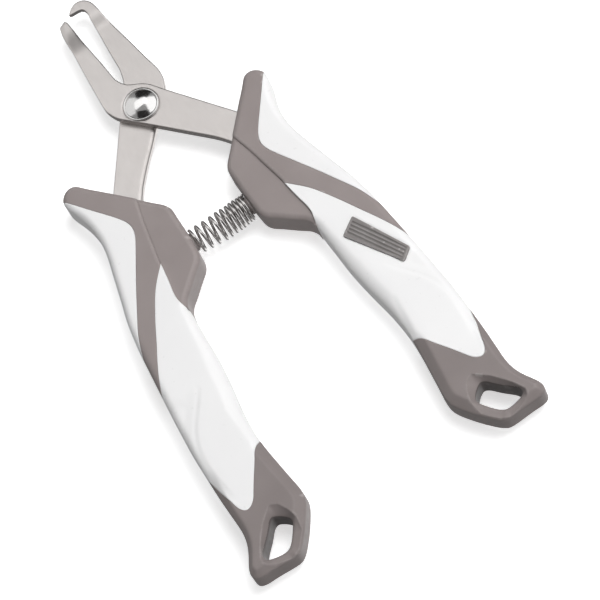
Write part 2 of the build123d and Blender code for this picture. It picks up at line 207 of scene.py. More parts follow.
# ------------------------------------------------------------------ meshes
def plate(name, loop, top, bottom, holes=(), grid=0.5, rings=(0.05, 0.12, 0.22, 0.36),
          walls=5, keep_top=True, keep_bottom=True, z_seam=None, dense=None, extra=()):
    """closed shell over a plan outline (mm). top and bottom give z over the plan"""
    loops = [loop] + list(holes)
    pts, edges, free = [], [], []
    for lp in loops:
        k = len(pts)
        pts += [tuple(p) for p in lp]
        edges += [(k + i, k + (i + 1) % len(lp)) for i in range(len(lp))]
    nb = len(pts)
    for li, lp in enumerate(loops):
        n = normals_in(lp)
        if li:
            n = -n
        last = 0
        for d in rings:
            q = lp + n * d
            ok = near(q, lp, True) > d * 0.93
            for lj, other in enumerate(loops):
                if lj != li:
                    ok &= near(q, other, True) > d * 1.2
            free.append(q[ok])
    free += [np.asarray(e, float) for e in extra if len(e)]
    lo, hi = loop.min(0), loop.max(0)
    gx, gy = np.arange(lo[0], hi[0], grid), np.arange(lo[1], hi[1], grid * 0.866)
    g = np.array([(x + (grid / 2 if j % 2 else 0), y) for j, y in enumerate(gy) for x in gx])
    free = np.vstack(free) if free else np.zeros((0, 2))
    m = inside(g, loop)
    for h in holes:
        m &= ~inside(g, h)
    g = g[m]
    dmin = max(rings[-1] if rings else 0.1, 0.1) + grid * 0.45
    d = near(g, loop, True)
    for h in holes:
        d = np.minimum(d, near(g, h, True))
    g = g[d > dmin]
    if dense is not None:
        g = g[dense(g)]
    for e in extra:
        if len(e) and len(g):
            g = g[near(g, e) > grid * 0.4]
    if len(free):
        fi = inside(free, loop)
        for h in holes:
            fi &= ~inside(free, h)
        free = free[fi]
    allp = [Vector(p) for p in pts] + [Vector(p) for p in free] + [Vector(p) for p in g]
    v2, e2, f2, vo, eo, fo = delaunay_2d_cdt(allp, edges, [], 1, 1e-5, True)
    P = np.array([tuple(v) for v in v2])
    tri = np.array([f for f in f2 if len(f) == 3])
    cen = P[tri].mean(1)
    ok = inside(cen, loop)
    for h in holes:
        ok &= ~inside(cen, h)
    tri = tri[ok]
    flip = np.cross(P[tri[:, 1]] - P[tri[:, 0]], P[tri[:, 2]] - P[tri[:, 0]]) < 0
    tri[flip] = tri[flip][:, ::-1]
    orig = {}
    for i, src in enumerate(vo):
        for s_ in src:
            orig[s_] = i
    zt, zb = top(P), bottom(P)
    verts, faces = [], []
    n = len(P)
    if keep_top:
        verts.append(np.column_stack([P, zt]))
        faces += [tuple(t) for t in tri]
        t0 = 0
    if keep_bottom:
        b0 = n if keep_top else 0
        verts.append(np.column_stack([P, zb]))
        faces += [tuple(b0 + t[::-1]) for t in tri]
    verts = np.vstack(verts)
    count = len(verts)
    new = []
    k = 0
    for lp in loops:
        ids = [orig[k + i] for i in range(len(lp))]
        ccw = area(lp) > 0
        outer = k == 0
        k += len(lp)
        m = len(ids)
        rows = []
        top_row = [i for i in ids] if keep_top else None
        bot_row = [(n if keep_top else 0) + i for i in ids] if keep_bottom else None
        za = zt[ids] if keep_top else np.full(m, z_seam)
        zc = zb[ids] if keep_bottom else np.full(m, z_seam)
        first = top_row
        lastr = bot_row
        body_rows = []
        fr = np.linspace(0, 1, walls + 2)
        fr = fr[1:-1] if (keep_top and keep_bottom) else (fr[1:] if keep_top else fr[:-1])
        for f_ in fr:
            zz = za * (1 - f_) + zc * f_
            row = list(range(count, count + m))
            count += m
            new.append(np.column_stack([P[ids], zz]))
            body_rows.append(row)
        rows = ([first] if first is not None else []) + body_rows + ([lastr] if lastr is not None else [])
        for a, b in zip(rows[:-1], rows[1:]):
            for i in range(m):
                j = (i + 1) % m
                q = (a[i], b[i], b[j], a[j])
                if (ccw and outer) or (not ccw and not outer):
                    faces.append(q)
                else:
                    faces.append(q[::-1])
    if new:
        verts = np.vstack([verts] + new)
    return verts, faces


def make(name, verts, faces, s=1, body=None, shift=True):
    v = np.array(verts, float)
    if s < 0:
        v[:, 0] *= -1
        faces = [tuple(reversed(f)) for f in faces]
    v = v / 1000.0
    if shift:
        v[:, 0] += PX
        v[:, 1] += PY
        v[:, 2] += MID
    me = bpy.data.meshes.new(name)
    me.from_pydata([tuple(p) for p in v], [], [tuple(int(i) for i in f) for f in faces])
    me.validate()
    me.update()
    for p in me.polygons:
        p.use_smooth = True
    ob = bpy.data.objects.new(name, me)
    bpy.context.scene.collection.objects.link(ob)
    if body:
        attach(ob, body)
    return ob


def sharpen(ob, deg=40):
    """mark edges sharper than deg so that they shade crisp"""
    me = ob.data
    n_poly = len(me.polygons)
    nor = np.zeros(n_poly * 3)
    me.polygons.foreach_get("normal", nor)
    nor = nor.reshape(-1, 3)
    edge_polys = {}
    for p in me.polygons:
        for k in p.edge_keys:
            edge_polys.setdefault(k, []).append(p.index)
    c = math.cos(math.radians(deg))
    for e in me.edges:
        ps = edge_polys.get(tuple(sorted(e.vertices)), [])
        if len(ps) == 2 and float(nor[ps[0]] @ nor[ps[1]]) < c:
            e.use_edge_sharp = True


# ------------------------------------------------------------------ stations
HANDLE = [
    (24.6, -12.2), (25.6, -11.1), (27.0, -10.6), (28.5, -10.9), (29.8, -11.9),
    (30.6, -13.4), (30.5, -15.2), (29.6, -18.2), (28.7, -21.6), (28.15, -25.8),
    (28.2, -30.2), (28.8, -34.0), (29.9, -38.5), (31.0, -43.0), (32.15, -47.7),
    (33.4, -52.6), (34.2, -57.0), (34.9, -62.0), (35.4, -67.0), (35.9, -72.3),
    (36.4, -77.6), (36.9, -82.8), (37.3, -88.2), (37.65, -94.0), (37.75, -100.0),
    (37.8, -106.0), (37.7, -111.0), (37.55, -115.5), (37.6, -119.4),
    (38.3, -122.6), (39.7, -125.6), (41.0, -128.1), (41.3, -129.5),
    (40.9, -130.7), (39.7, -131.3), (37.2, -131.45), (33.6, -131.6),
    (30.8, -131.7), (29.2, -131.5), (27.9, -130.7), (26.3, -129.0),
    (24.4, -126.6), (22.6, -124.0), (21.2, -121.7), (20.45, -119.9),
    (20.25, -117.8), (20.6, -114.2), (21.2, -109.0), (21.75, -103.8),
    (22.05, -98.8), (21.9, -93.5), (21.4, -88.5), (20.7, -84.0), (20.1, -79.8),
    (19.6, -75.6), (19.3, -71.6), (19.15, -67.0), (18.95, -62.4), (18.6, -58.6),
    (17.6, -56.5), (15.9, -54.9), (13.6, -52.8), (11.4, -50.8), (10.0, -49.5),
    (9.2, -48.1), (8.85, -45.8), (8.6, -42.0), (8.55, -38.0), (8.5, -34.0),
    (8.6, -31.9), (9.5, -30.0), (11.1, -28.1), (14.0, -24.7), (17.4, -20.7),
    (20.9, -16.6),
]
STRIPE_UP = [
    (32.2, -10.9), (30.4, -13.4), (25.75, -20.1), (22.35, -24.9), (20.6, -27.6),
    (19.7, -29.5), (19.4, -31.3), (19.8, -33.4), (21.0, -36.0), (24.0, -41.5),
    (27.3, -47.6), (30.6, -54.0), (33.1, -59.2), (34.3, -62.4), (35.6, -66.0),
]
STRIPE_LOW = [
    (18.4, -44.7), (20.5, -47.0), (23.05, -50.2), (24.9, -53.2), (27.3, -57.6),
    (30.15, -63.3), (33.0, -69.0), (34.8, -73.0), (35.8, -75.3), (37.0, -78.0),
]
STEP = [(14.0, -22.6), (14.6, -25.6), (15.6, -29.7), (17.1, -37.6), (18.4, -44.7)]
STEP_LOW = [
    (18.4, -44.7), (19.25, -50.8), (19.8, -54.3), (19.75, -56.4), (19.0, -59.2),
    (18.2, -62.0),
]
CAP_TOP = [
    (20.4, -99.8), (22.4, -101.0), (23.6, -101.9), (25.4, -104.5), (27.6, -107.9),
    (29.9, -111.6), (31.3, -113.7), (32.4, -114.6), (33.6, -114.9), (34.8, -113.9),
    (35.7, -111.2), (36.6, -107.6), (37.4, -103.6), (38.4, -98.6),
]
JAW_FRONT_OUT = [
    (-6.3, 35.2), (-6.75, 33.4), (-7.15, 27.2), (-7.55, 20.9), (-8.05, 14.3),
    (-8.4, 8.6), (-8.52, 6.4), (-8.44, 4.3), (-7.95, 2.4), (-6.95, 0.3),
    (-5.1, -1.9), (-1.4, -6.1), (2.35, -10.4), (6.0, -14.65), (9.6, -18.8),
    (11.7, -21.4), (13.5, -24.1),
]
JAW_FRONT_IN = [
    (-4.45, 35.85), (-4.05, 35.4), (-3.8, 34.2), (-3.62, 32.0), (-3.43, 28.1),
    (-3.0, 23.0), (-2.5, 18.2), (-2.15, 13.9), (-1.95, 11.6), (-1.5, 9.9),
    (-0.9, 8.7), (0.2, 7.4), (1.7, 6.45), (3.1, 5.55), (4.4, 4.4),
    (5.4, 3.1), (6.5, 1.3),
]
JAW_REAR_OUT = [
    (-2.35, 36.8), (-1.8, 37.5), (-0.85, 38.3), (0.4, 38.85), (1.95, 38.8),
    (3.15, 38.15), (4.1, 37.0), (4.6, 35.65), (4.88, 33.9), (5.05, 32.4),
    (5.6, 28.4), (6.3, 24.1), (7.0, 19.9), (7.7, 15.5), (8.4, 11.3),
    (8.9, 8.6), (9.0, 6.8), (8.7, 4.9), (8.0, 2.8), (6.9, 0.6),
    (5.0, -1.9), (2.4, -4.6), (-0.2, -7.2), (-2.9, -10.2), (-6.2, -13.75),
    (-8.7, -16.6), (-10.6, -18.9), (-12.2, -21.1), (-13.5, -23.2),
]
JAW_REAR_IN = [
    (-2.3, 36.6), (-2.0, 36.45), (-0.7, 36.3), (0.5, 36.15), (1.45, 35.7),
    (1.85, 34.8), (1.75, 32.6), (1.45, 28.7), (1.2, 25.0), (0.95, 21.4),
    (0.75, 17.7), (0.5, 14.0), (0.1, 12.1), (-0.3, 10.7), (-1.2, 8.9),
    (-2.6, 7.0), (-4.2, 5.0), (-5.6, 3.0), (-6.7, 1.0),
]
HOLE = [
    (26.5, -122.3), (27.2, -121.4), (28.5, -120.3), (29.5, -119.9), (30.4, -120.3),
    (31.6, -121.6), (33.5, -123.75), (35.4, -125.7), (36.2, -127.0), (36.2, -128.0),
    (35.3, -128.6), (33.9, -129.0), (32.2, -129.25), (30.8, -129.15), (29.7, -128.5),
    (28.2, -126.8), (26.7, -124.6), (26.2, -123.3),
]
BADGE = [(27.4, -63.6), (34.6, -79.7), (31.3, -82.3), (22.6, -67.0)]
RIDGE = [(26.8, -80.5), (28.6, -83.2), (32.3, -88.5), (34.5, -93.4), (35.2, -98.0),
         (35.0, -103.0), (34.0, -110.3)]


def S(table):
    return np.array(table, float) * F


# ------------------------------------------------------------------ handles
OUT = resample(spline(S(HANDLE), 0.1, True), 0.3, True)
UP = spline(S(STRIPE_UP), 0.3)
LOW = spline(S(STRIPE_LOW), 0.3)
STP = spline(S(STEP + STEP_LOW[1:]), 0.3)
CAPC = spline(S(CAP_TOP), 0.3)
RDG = spline(S(RIDGE), 0.3)
RDG2 = spline(S([(24.1, -89.2), (23.6, -93.0), (23.0, -98.0), (22.5, -101.8)]), 0.3)
CORNER = int(np.argmin(np.linalg.norm(STP - S([(18.4, -44.7)]), axis=1)))
LOW[0] = STP[CORNER]

u = cross(UP, OUT)
w = cross(LOW, OUT)
st = cross(STP, OUT)
kp = cross(CAPC, OUT)
U0, U1 = u[0], u[-1]
W1 = w[-1]
S0, L1 = st[0], st[-1]
K0, K1 = kp[0], kp[-1]


def loop_of(*runs):
    out = []
    for r in runs:
        for p in np.atleast_2d(r):
            if not out or np.linalg.norm(out[-1] - p) > 0.04:
                out.append(p)
    if np.linalg.norm(out[0] - out[-1]) < 0.04:
        out.pop()
    return np.array(out)


guard_loop = loop_of(U0[2], part_of(UP, U0[0], U1[0]), U1[2], along(OUT, U1[1], W1[1]), W1[2],
                     part_of(LOW, 0.5, W1[0])[::-1], STP[CORNER],
                     part_of(STP, S0[0], CORNER - 0.01)[::-1], S0[2], along(OUT, S0[1], U0[1]))
wedge_loop = loop_of(U0[2], along(OUT, U0[1], U1[1]), U1[2], part_of(UP, U0[0], U1[0])[::-1])
main_loop = loop_of(W1[2], along(OUT, W1[1], K1[1]), K1[2], part_of(CAPC, K0[0], K1[0])[::-1], K0[2],
                    along(OUT, K0[1], L1[1]), L1[2], part_of(STP, CORNER + 0.01, L1[0])[::-1],
                    STP[CORNER], part_of(LOW, 0.5, W1[0]))
pad_loop = loop_of(L1[2], along(OUT, L1[1], S0[1]), S0[2], part_of(STP, S0[0], L1[0]))
cap_loop = loop_of(K1[2], along(OUT, K1[1], K0[1]), K0[2], part_of(CAPC, K0[0], K1[0]))


def shrink(lp, gap=0.04):
    """pull the stretches that are parting lines in by gap; the outer skin stays"""
    d = near(lp, OUT, True)
    n = normals_in(lp)
    return lp + n * (gap * sstep(0.0, 0.25, d))[:, None]


def rounded(table, r, step=0.3):
    """closed polygon with its corners rounded off"""
    p = np.array(table, float)
    n = len(p)
    out = []
    for i in range(n):
        a, b, c = p[i - 1], p[i], p[(i + 1) % n]
        u1, u2 = (a - b) / np.linalg.norm(a - b), (c - b) / np.linalg.norm(c - b)
        ang = math.acos(np.clip(u1 @ u2, -1, 1))
        t = min(r / math.tan(ang / 2), 0.45 * np.linalg.norm(a - b), 0.45 * np.linalg.norm(c - b))
        p0, p1 = b + u1 * t, b + u2 * t
        for s_ in np.linspace(0, 1, 9):
            out.append((1 - s_) ** 2 * p0 + 2 * s_ * (1 - s_) * b + s_ ** 2 * p1)
    return resample(np.array(out), step, True)


# stretches of the outer skin, to know how each point is bevelled
def stretch(y0, y1, inner):
    q = OUT / F
    i0 = int(np.argmin(np.linalg.norm(q - np.array(y0), axis=1)))
    i1 = int(np.argmin(np.linalg.norm(q - np.array(y1), axis=1)))
    n = len(OUT)
    idx = np.arange(i0, i1 + (n if i1 < i0 else 0) + 1) % n
    return OUT[idx]


OUTER = stretch((30.6, -13.4), (41.2, -129.8), False)
END = stretch((41.2, -129.8), (28.6, -131.2), False)
INNER = stretch((28.6, -131.2), (18.6, -58.6), True)
PADS = stretch((18.6, -58.6), (9.0, -30.9), True)
GUARD = stretch((9.0, -30.9), (30.6, -13.4), True)


def curve_at(y, table):
    ys = [t[0] for t in table]
    vs = [t[1] for t in table]
    return np.interp(-np.asarray(y) / F, [-a for a in ys], vs)


CREST = [(-10, 4.45), (-22, 4.62), (-40, 4.75), (-60, 4.85), (-76, 4.98), (-92, 5.0),
         (-101, 4.9), (-110, 4.6), (-118, 4.4), (-126, 4.3), (-133, 4.15)]
W_IN = [(-56, 2.4), (-64, 3.2), (-76, 4.6), (-88, 4.4), (-97, 3.4), (-104, 2.7), (-120, 2.6), (-131, 2.4)]
H_IN = [(-56, 2.0), (-64, 2.4), (-76, 2.9), (-88, 2.8), (-100, 2.2), (-110, 1.8), (-131, 1.7)]
W_OUT = [(-12, 1.6), (-20, 2.4), (-40, 2.6), (-60, 2.4), (-80, 2.6), (-100, 2.4), (-112, 1.7), (-130, 1.4)]
H_OUT = [(-12, 1.4), (-20, 2.0), (-40, 2.2), (-60, 2.0), (-80, 2.2), (-100, 2.0), (-112, 1.5), (-130, 1.3)]


def round_drop(d, w_, h_):
    x = np.clip(1 - d / w_, 0, 1)
    return h_ * (1 - np.sqrt(np.clip(1 - x * x, 0, 1)))


def bevel_drop(d, w_, h_, soft=0.35):
    """straight bevel with a soft crease, and a small rounding at the skin"""
    z = smin(np.zeros_like(d) + 0.0, (d - w_) * (h_ / w_), soft)
    return -z + round_drop(d, 0.35, 0.3)


def smax(a, b, k):
    return -smin(-a, -b, k)


def skin_top(P, edge_soft=1.0, crest_add=0.0):
    """height of the moulded surface over the seam plane"""
    y = P[:, 1]
    crest = curve_at(y, CREST) + crest_add
    do, di = near(P, OUTER), near(P, INNER)
    de, dg = near(P, END), near(P, GUARD)
    z = crest.copy()
    # facet beyond the ridge, sloping a little to the outer skin
    rx = np.interp(-y, -RDG[:, 1], RDG[:, 0])
    on = sstep(-78 * F, -84 * F, y) * sstep(-112 * F, -106 * F, y)
    dx = P[:, 0] - rx
    beyond = np.clip(dx, 0, 9) * on
    z -= 0.11 * smin(beyond, np.full_like(beyond, 4.0), 0.4)
    z -= 0.13 * np.exp(-((dx - 0.9) / 0.55) ** 2) * on      # shallow valley along the ridge
    z -= 0.12 * np.exp(-((near(P, RDG2)) / 0.5) ** 2)
    cap_ = sstep(-99 * F, -105 * F, y)
    wi, hi = curve_at(y, W_IN), curve_at(y, H_IN)
    wo, ho = curve_at(y, W_OUT), curve_at(y, H_OUT)
    drop = round_drop(di, wi, hi) * (1 - cap_) + bevel_drop(di, wi, hi, 0.3) * cap_
    drop = smax(drop, round_drop(do, wo, ho) * (1 - cap_) + bevel_drop(do, wo, ho, 0.25) * cap_, 0.25)
    drop = smax(drop, bevel_drop(de, 2.0, 1.6, 0.3), 0.25)
    drop = smax(drop, bevel_drop(dg, 1.25, 0.9, 0.25), 0.25)
    return z - np.clip(drop, 0, 4)


def lip(z, lp, P, r=0.16):
    """small rounding where two mouldings meet"""
    return z - round_drop(near(P, lp, True), r, r)


BAD = S(BADGE)
ctr = BAD.mean(0)
ux = (BAD[1] - BAD[0]) + (BAD[2] - BAD[3])
ux /= np.linalg.norm(ux)
uy = np.array([-ux[1], ux[0]])
bad_loop = rounded(BAD, 0.5, 0.22)

HOLE_R = resample(spline(S(HOLE), 0.1, True), 0.3, True)
REC = rounded(S([(28.7, -117.2), (26.7, -118.3), (25.4, -121.0), (24.7, -123.6), (25.2, -126.9), (28.4, -130.6),
                 (30.8, -131.7), (34.0, -131.0), (36.8, -129.9), (37.3, -128.3), (35.4, -124.6),
                 (32.3, -120.5)]), 0.8, 0.3)


def handle_piece(name, s, loop, ztop, replaces, body, mat, holes=(), split=None, grid=0.5,
                 extra=()):
    def bot(P):
        return -ztop(P)
    made = []
    if split is None:
        v, f = plate(name, loop, ztop, bot, holes, grid=grid, walls=9, extra=extra)
        if s < 0 and "cap" in name:     # this end cap is a shade shorter
            v = np.array(v, float)
            v[:, 1] += 0.55 * sstep(-106 * F, -124 * F, v[:, 1])
        ob = make(name, v, f, s, body)
        made.append(ob)
    else:
        for nm, up, nodes in split:
            v, f = plate(nm, loop, ztop, bot, holes, grid=grid, walls=6, keep_top=up > 0,
                         keep_bottom=up < 0, z_seam=0.02 * up, extra=extra)
            ob = make(nm, v, f, s, body)
            made.append(ob)
    for ob in made:
        ob.data.materials.append(mat)
    return made


def z_white(P):
    return skin_top(P)


def z_white_badge(P):
    d = near(P, bad_loop, True) * np.where(inside(P, bad_loop), 1, -1)
    return skin_top(P) - 0.30 * sstep(-0.02, 0.12, d)


def z_grip(P):
    return skin_top(P)


def z_guard(P):
    # eased edge where the outer strip stands over the spring pad
    return skin_top(P) - 0.42 * np.clip(1 - near(P, STP) / 0.42, 0, 1)


def z_pad(P):
    dp, dg = near(P, PADS), near(P, GUARD)
    z = np.full(len(P), 3.98)
    z -= bevel_drop(np.minimum(dp, dg), 1.0, 0.8, 0.12)
    return z


REC_LINES = [np.vstack([REC, REC[:1]])]
for step_ in (0.14, 0.3):
    a_ = REC + normals_in(REC) * step_
    REC_LINES.append(np.vstack([a_, a_[:1]]))


def z_cap(P):
    z = skin_top(P)
    # recess round the hole: a flat slope from a crisp crease down to the hole
    dh, dr = near(P, HOLE_R, True), near(P, REC, True)
    t = np.where(inside(P, REC) & ~inside(P, HOLE_R), dr / (dr + dh + 1e-6), 0.0)
    t = np.where(dh < 1e-3, 1.0, t)
    rec = 1.7 * t - 0.05 * np.exp(-(dr / 0.22) ** 2)
    rec = rec + round_drop(dh, 0.3, 0.3)
    return z - rec


# ------------------------------------------------------------------ materials
def new_mat(name):
    m = bpy.data.materials.new(name)
    m.use_nodes = True
    nt = m.node_tree
    b = nt.nodes["Principled BSDF"]
    return m, nt, b


def node(nt, kind, **kw):
    n = nt.nodes.new(kind)
    for k, v in kw.items():
        if k in n.inputs.keys():
            n.inputs[k].default_value = v
        else:
            setattr(n, k, v)
    return n


def coords(nt, scale=(1, 1, 1)):
    tc = node(nt, "ShaderNodeTexCoord")
    mp = node(nt, "ShaderNodeMapping")
    mp.inputs["Scale"].default_value = scale
    nt.links.new(tc.outputs["Object"], mp.inputs["Vector"])
    return mp.outputs["Vector"]


def noise(nt, vec, scale, detail=3.0, rough=0.55):
    n = node(nt, "ShaderNodeTexNoise")
    n.inputs["Scale"].default_value = scale
    n.inputs["Detail"].default_value = detail
    n.inputs["Roughness"].default_value = rough
    nt.links.new(vec, n.inputs["Vector"])
    return n.outputs["Fac"]


def remap(nt, val, lo, hi, a=0.3, b=0.7):
    r = node(nt, "ShaderNodeMapRange")
    r.inputs["From Min"].default_value = a
    r.inputs["From Max"].default_value = b
    r.inputs["To Min"].default_value = lo
    r.inputs["To Max"].default_value = hi
    nt.links.new(val, r.inputs["Value"])
    return r.outputs["Result"]


def mixc(nt, fac, c1, c2):
    m = node(nt, "ShaderNodeMix", data_type="RGBA")
    nt.links.new(fac, m.inputs["Factor"])
    m.inputs["A"].default_value = (*c1, 1)
    m.inputs["B"].default_value = (*c2, 1)
    return m.outputs["Result"]


def bump(nt, height, strength, distance, normal=None):
    b = node(nt, "ShaderNodeBump")
    b.inputs["Strength"].default_value = strength
    b.inputs["Distance"].default_value = distance
    nt.links.new(height, b.inputs["Height"])
    if normal is not None:
        nt.links.new(normal, b.inputs["Normal"])
    return b.outputs["Normal"]


def edge_mask(nt, lo=0.51, hi=0.6):
    g = node(nt, "ShaderNodeNewGeometry")
    return remap(nt, g.outputs["Pointiness"], 0.0, 1.0, lo, hi)


def soft_grip(name="soft_grip", dim=1.0):
    m, nt, b = new_mat(name)
    v = coords(nt)
    big = noise(nt, v, 70, 2)
    c = mixc(nt, remap(nt, big, 0, 1), tuple(x * dim for x in (0.262, 0.226, 0.220)),
             tuple(x * dim for x in (0.292, 0.254, 0.247)))
    # lighter colour on sharp creases (pointiness mask): painted crease highlight
    mix = node(nt, "ShaderNodeMix", data_type="RGBA")
    nt.links.new(edge_mask(nt, 0.515, 0.60), mix.inputs["Factor"])
    nt.links.new(c, mix.inputs["A"])
    mix.inputs["B"].default_value = (0.40 * dim, 0.36 * dim, 0.35 * dim, 1)
    nt.links.new(mix.outputs["Result"], b.inputs["Base Color"])
    nt.links.new(remap(nt, noise(nt, v, 900, 3), 0.46, 0.60), b.inputs["Roughness"])
    fine = noise(nt, v, 5200, 2)
    b1 = bump(nt, fine, 0.16, 0.00006)
    nt.links.new(bump(nt, noise(nt, v, 260, 2), 0.10, 0.0002, b1), b.inputs["Normal"])
    b.inputs["Specular IOR Level"].default_value = 0.42
    b.inputs["Sheen Weight"].default_value = 0.08
    b.inputs["Sheen Roughness"].default_value = 0.5
    return m


def white_plastic():
    m, nt, b = new_mat("white_plastic")
    v = coords(nt)
    c = mixc(nt, remap(nt, noise(nt, v, 45, 2), 0, 1), (0.835, 0.832, 0.835), (0.865, 0.862, 0.862))
    nt.links.new(c, b.inputs["Base Color"])
    nt.links.new(remap(nt, noise(nt, v, 700, 4), 0.27, 0.37), b.inputs["Roughness"])
    b1 = bump(nt, noise(nt, v, 3600, 2), 0.07, 0.00005)
    nt.links.new(bump(nt, noise(nt, v, 120, 2), 0.07, 0.0003, b1), b.inputs["Normal"])
    b.inputs["Specular IOR Level"].default_value = 0.5
    b.inputs["Subsurface Weight"].default_value = 0.08
    b.inputs["Subsurface Radius"].default_value = (0.001, 0.001, 0.001)
    b.inputs["Subsurface Scale"].default_value = 1.0
    return m


def satin_steel(name="satin_steel", along_y=True, base=(0.69, 0.655, 0.636), rough=(0.28, 0.40)):
    m, nt, b = new_mat(name)
    v = coords(nt, (1, 0.09, 1) if along_y else (1, 1, 1))
    iso = coords(nt)
    streak = noise(nt, v, 4200, 3, 0.6)
    c = mixc(nt, remap(nt, noise(nt, iso, 160, 3), 0, 1), tuple(x * 0.96 for x in base), base)
    mix = node(nt, "ShaderNodeMix", data_type="RGBA")
    nt.links.new(edge_mask(nt, 0.53, 0.7), mix.inputs["Factor"])
    nt.links.new(c, mix.inputs["A"])
    mix.inputs["B"].default_value = (0.80, 0.79, 0.78, 1)
    nt.links.new(mix.outputs["Result"], b.inputs["Base Color"])
    b.inputs["Metallic"].default_value = 1.0
    nt.links.new(remap(nt, streak, *rough), b.inputs["Roughness"])
    b1 = bump(nt, streak, 0.10, 0.00003)
    nt.links.new(bump(nt, noise(nt, iso, 9000, 2), 0.08, 0.00003, b1), b.inputs["Normal"])
    return m


def polished(name, base=(0.86, 0.85, 0.84), rough=(0.03, 0.08)):
    m, nt, b = new_mat(name)
    v = coords(nt)
    c = mixc(nt, remap(nt, noise(nt, v, 300, 3), 0, 1), tuple(x * 0.97 for x in base), base)
    nt.links.new(c, b.inputs["Base Color"])
    b.inputs["Metallic"].default_value = 1.0
    nt.links.new(remap(nt, noise(nt, v, 2500, 4), *rough), b.inputs["Roughness"])
    nt.links.new(bump(nt, noise(nt, v, 800, 3), 0.04, 0.00003), b.inputs["Normal"])
    return m


def badge_metal():
    m, nt, b = new_mat("badge_grey")
    v = coords(nt)
    c = mixc(nt, remap(nt, noise(nt, v, 260, 3), 0, 1), (0.20, 0.185, 0.18), (0.25, 0.235, 0.23))
    mix = node(nt, "ShaderNodeMix", data_type="RGBA")
    nt.links.new(edge_mask(nt, 0.51, 0.58), mix.inputs["Factor"])
    nt.links.new(c, mix.inputs["A"])
    mix.inputs["B"].default_value = (0.45, 0.43, 0.42, 1)
    nt.links.new(mix.outputs["Result"], b.inputs["Base Color"])
    b.inputs["Metallic"].default_value = 0.35
    nt.links.new(remap(nt, noise(nt, v, 1800, 3), 0.30, 0.45), b.inputs["Roughness"])
    nt.links.new(bump(nt, noise(nt, v, 3500, 2), 0.10, 0.00004), b.inputs["Normal"])
    return m


GRIP, WHITE = soft_grip(), white_plastic()
# darker copy of the grip for the through-hole walls of the caps: painted shade inside the hole
HOLE_SHADE_M = soft_grip("painted_shade_hole_grey", 0.42)
STEEL = satin_steel()
# dark metal for blade edge walls that face away from the light and for the groove round the washer: painted shade
RIM_SHADE_M = polished("painted_shade_rim", (0.42, 0.39, 0.38), (0.20, 0.32))
CAP_M = soft_grip("cap_grip", 0.82)
DOME = polished("polished_steel", (0.92, 0.91, 0.90), (0.12, 0.17))
for node_ in DOME.node_tree.nodes:
    if node_.type == "BSDF_PRINCIPLED":
        tn = DOME.node_tree.nodes.new("ShaderNodeTangent")
        tn.direction_type = "RADIAL"
        tn.axis = "Z"
        node_.inputs["Anisotropic"].default_value = 0.7
        DOME.node_tree.links.new(tn.outputs["Tangent"], node_.inputs["Tangent"])
        break
WASH = polished("washer_steel", (0.74, 0.73, 0.72), (0.16, 0.26))
WIRE = polished("spring_wire", (0.64, 0.62, 0.61), (0.05, 0.10))
BADGE_M = badge_metal()
PIN_M = satin_steel("pin_steel", False, (0.55, 0.54, 0.53), (0.3, 0.45))
STUD_M = soft_grip()
STUD_M.name = "stud_plastic"

# ------------------------------------------------------------------ build handles
for s in (1, -1):
    side, body = SIDE[s], BODY[s]
    core = [(f"{side}_shell_front", 1, None), (f"{side}_shell_rear", -1, None)]
    zm = z_white_badge if s > 0 else z_white
    main = handle_piece(f"{side}_main", s, shrink(main_loop), lambda P: lip(zm(P), main_loop, P),
                        (), body, WHITE,
                        split=[(f"{side}_main_front", 1, None), (f"{side}_main_rear", -1, None)],
                        extra=[RDG])
    wedge = handle_piece(f"{side}_wedge", s, shrink(wedge_loop), lambda P: lip(z_white(P), wedge_loop, P),
                         (), body, WHITE,
                         split=[(f"{side}_wedge_front", 1, None), (f"{side}_wedge_rear", -1, None)])
    if s > 0:
        # the back has no badge, so its face runs on over the recess
        vs = main[1].data.vertices
        q_ = np.array([[(v.co.x - PX) * 1000, (v.co.y - PY) * 1000] for v in vs])
        dz = lip(z_white(q_), main_loop, q_) - lip(z_white_badge(q_), main_loop, q_)
        for v, d_ in zip(vs, dz):
            if v.co.z < 0.0025 and d_ > 0:
                v.co.z -= float(d_) / 1000
        main[1].data.update()
    for k, nm in ((0, "front"), (1, "rear")):
        bpy.context.view_layer.update()
        a, b_ = main[k], wedge[k]
        ctx = {"active_object": a, "selected_editable_objects": [a, b_], "object": a,
               "selected_objects": [a, b_]}
        with bpy.context.temp_override(**ctx):
            bpy.ops.object.join()
        a.name = f"{side}_shell_{nm}"
        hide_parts(f"{side}_core_{nm}")
    guard = handle_piece(f"{side}_guard_stripe", s, shrink(guard_loop),
                         lambda P: lip(z_guard(P), guard_loop, P), (), body, GRIP)[0]
    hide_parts(f"{side}_guard_grip")
    pad = handle_piece(f"{side}_pad", s, pad_loop, z_pad, (), body, GRIP)[0]
    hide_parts(f"{side}_spring_pad")
    cap = handle_piece(f"{side}_cap", s, shrink(cap_loop), lambda P: lip(z_cap(P), cap_loop, P),
                       (), body, GRIP, holes=[HOLE_R], grid=0.4, extra=REC_LINES)[0]
    cap.data.materials.append(HOLE_SHADE_M)
    # upright faces right by the hole take the darker copy: painted shade on the hole wall
    for p in cap.data.polygons:
        if abs(p.normal.z) < 0.5:
            q_ = np.array([[(p.center.x - PX) * 1000 * s, (p.center.y - PY) * 1000 - (0.53 if s < 0 else 0)]])
            if near(q_, HOLE_R, True)[0] < (0.17 if s < 0 else 0.12):
                p.material_index = 1
    cap.data.materials[0] = CAP_M
    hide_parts(f"{side}_end_cap")
    for n in (f"{side}_tang_pins",):
        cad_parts[n].data.materials.clear()
        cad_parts[n].data.materials.append(PIN_M)
    st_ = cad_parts[f"{side}_spring_stud"]
    st_.data.materials.clear()
    st_.data.materials.append(STUD_M)


# ------------------------------------------------------------------ blades
def corner_runs(*runs):
    return loop_of(*[r for r in runs])


